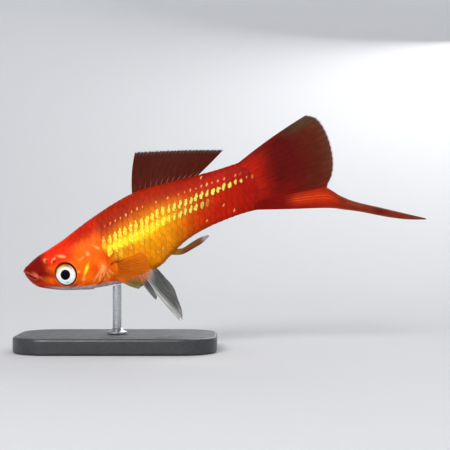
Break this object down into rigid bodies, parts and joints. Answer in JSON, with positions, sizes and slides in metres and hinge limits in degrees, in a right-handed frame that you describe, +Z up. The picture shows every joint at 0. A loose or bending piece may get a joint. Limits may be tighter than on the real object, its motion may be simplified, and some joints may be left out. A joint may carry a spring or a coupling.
{
  "type": "swordtail fish on a display stand",
  "caption": "Life-size male swordtail, head down as in swimming, fins spread and a long sword below the tail fin, held by a rod on a flat base.",
  "frame": {"origin": "middle of the underside of the stand's base", "axes": "+X from the snout to the tail, +Z up, the fish's left side towards -Y"},
  "size_m": [0.1024, 0.03, 0.0589],
  "materials": {
    "head_skin": "moist skin, red snout and orange cheek",
    "trunk_skin": "small glossy scales, orange with a yellow band along the side",
    "stalk_skin": "small glossy scales, deep red",
    "red_fin": "thin rayed membrane, dark red, greyer at the margin",
    "sword_fin": "orange fin rays, paler edges",
    "pale_fin": "thin rayed membrane, grey white",
    "orange_fin": "thin rayed membrane, orange",
    "eye": "silver white iris round a black pupil, wet gloss",
    "stand_base": "satin black",
    "stand_rod": "brushed rod"
  },
  "bodies": {
    "root": {"head": "head_skin", "trunk": "trunk_skin", "tail_stalk": "stalk_skin", "dorsal_fin": "red_fin", "caudal_fin": "red_fin", "sword": "sword_fin", "gonopodium": "pale_fin", "eye_left": "eye", "eye_right": "eye", "pelvic_fin_left": "pale_fin", "pelvic_fin_right": "pale_fin", "pectoral_fin_left": "orange_fin", "pectoral_fin_right": "orange_fin", "stand_base": "stand_base", "stand_rod": "stand_rod"}
  },
  "joints": []
}
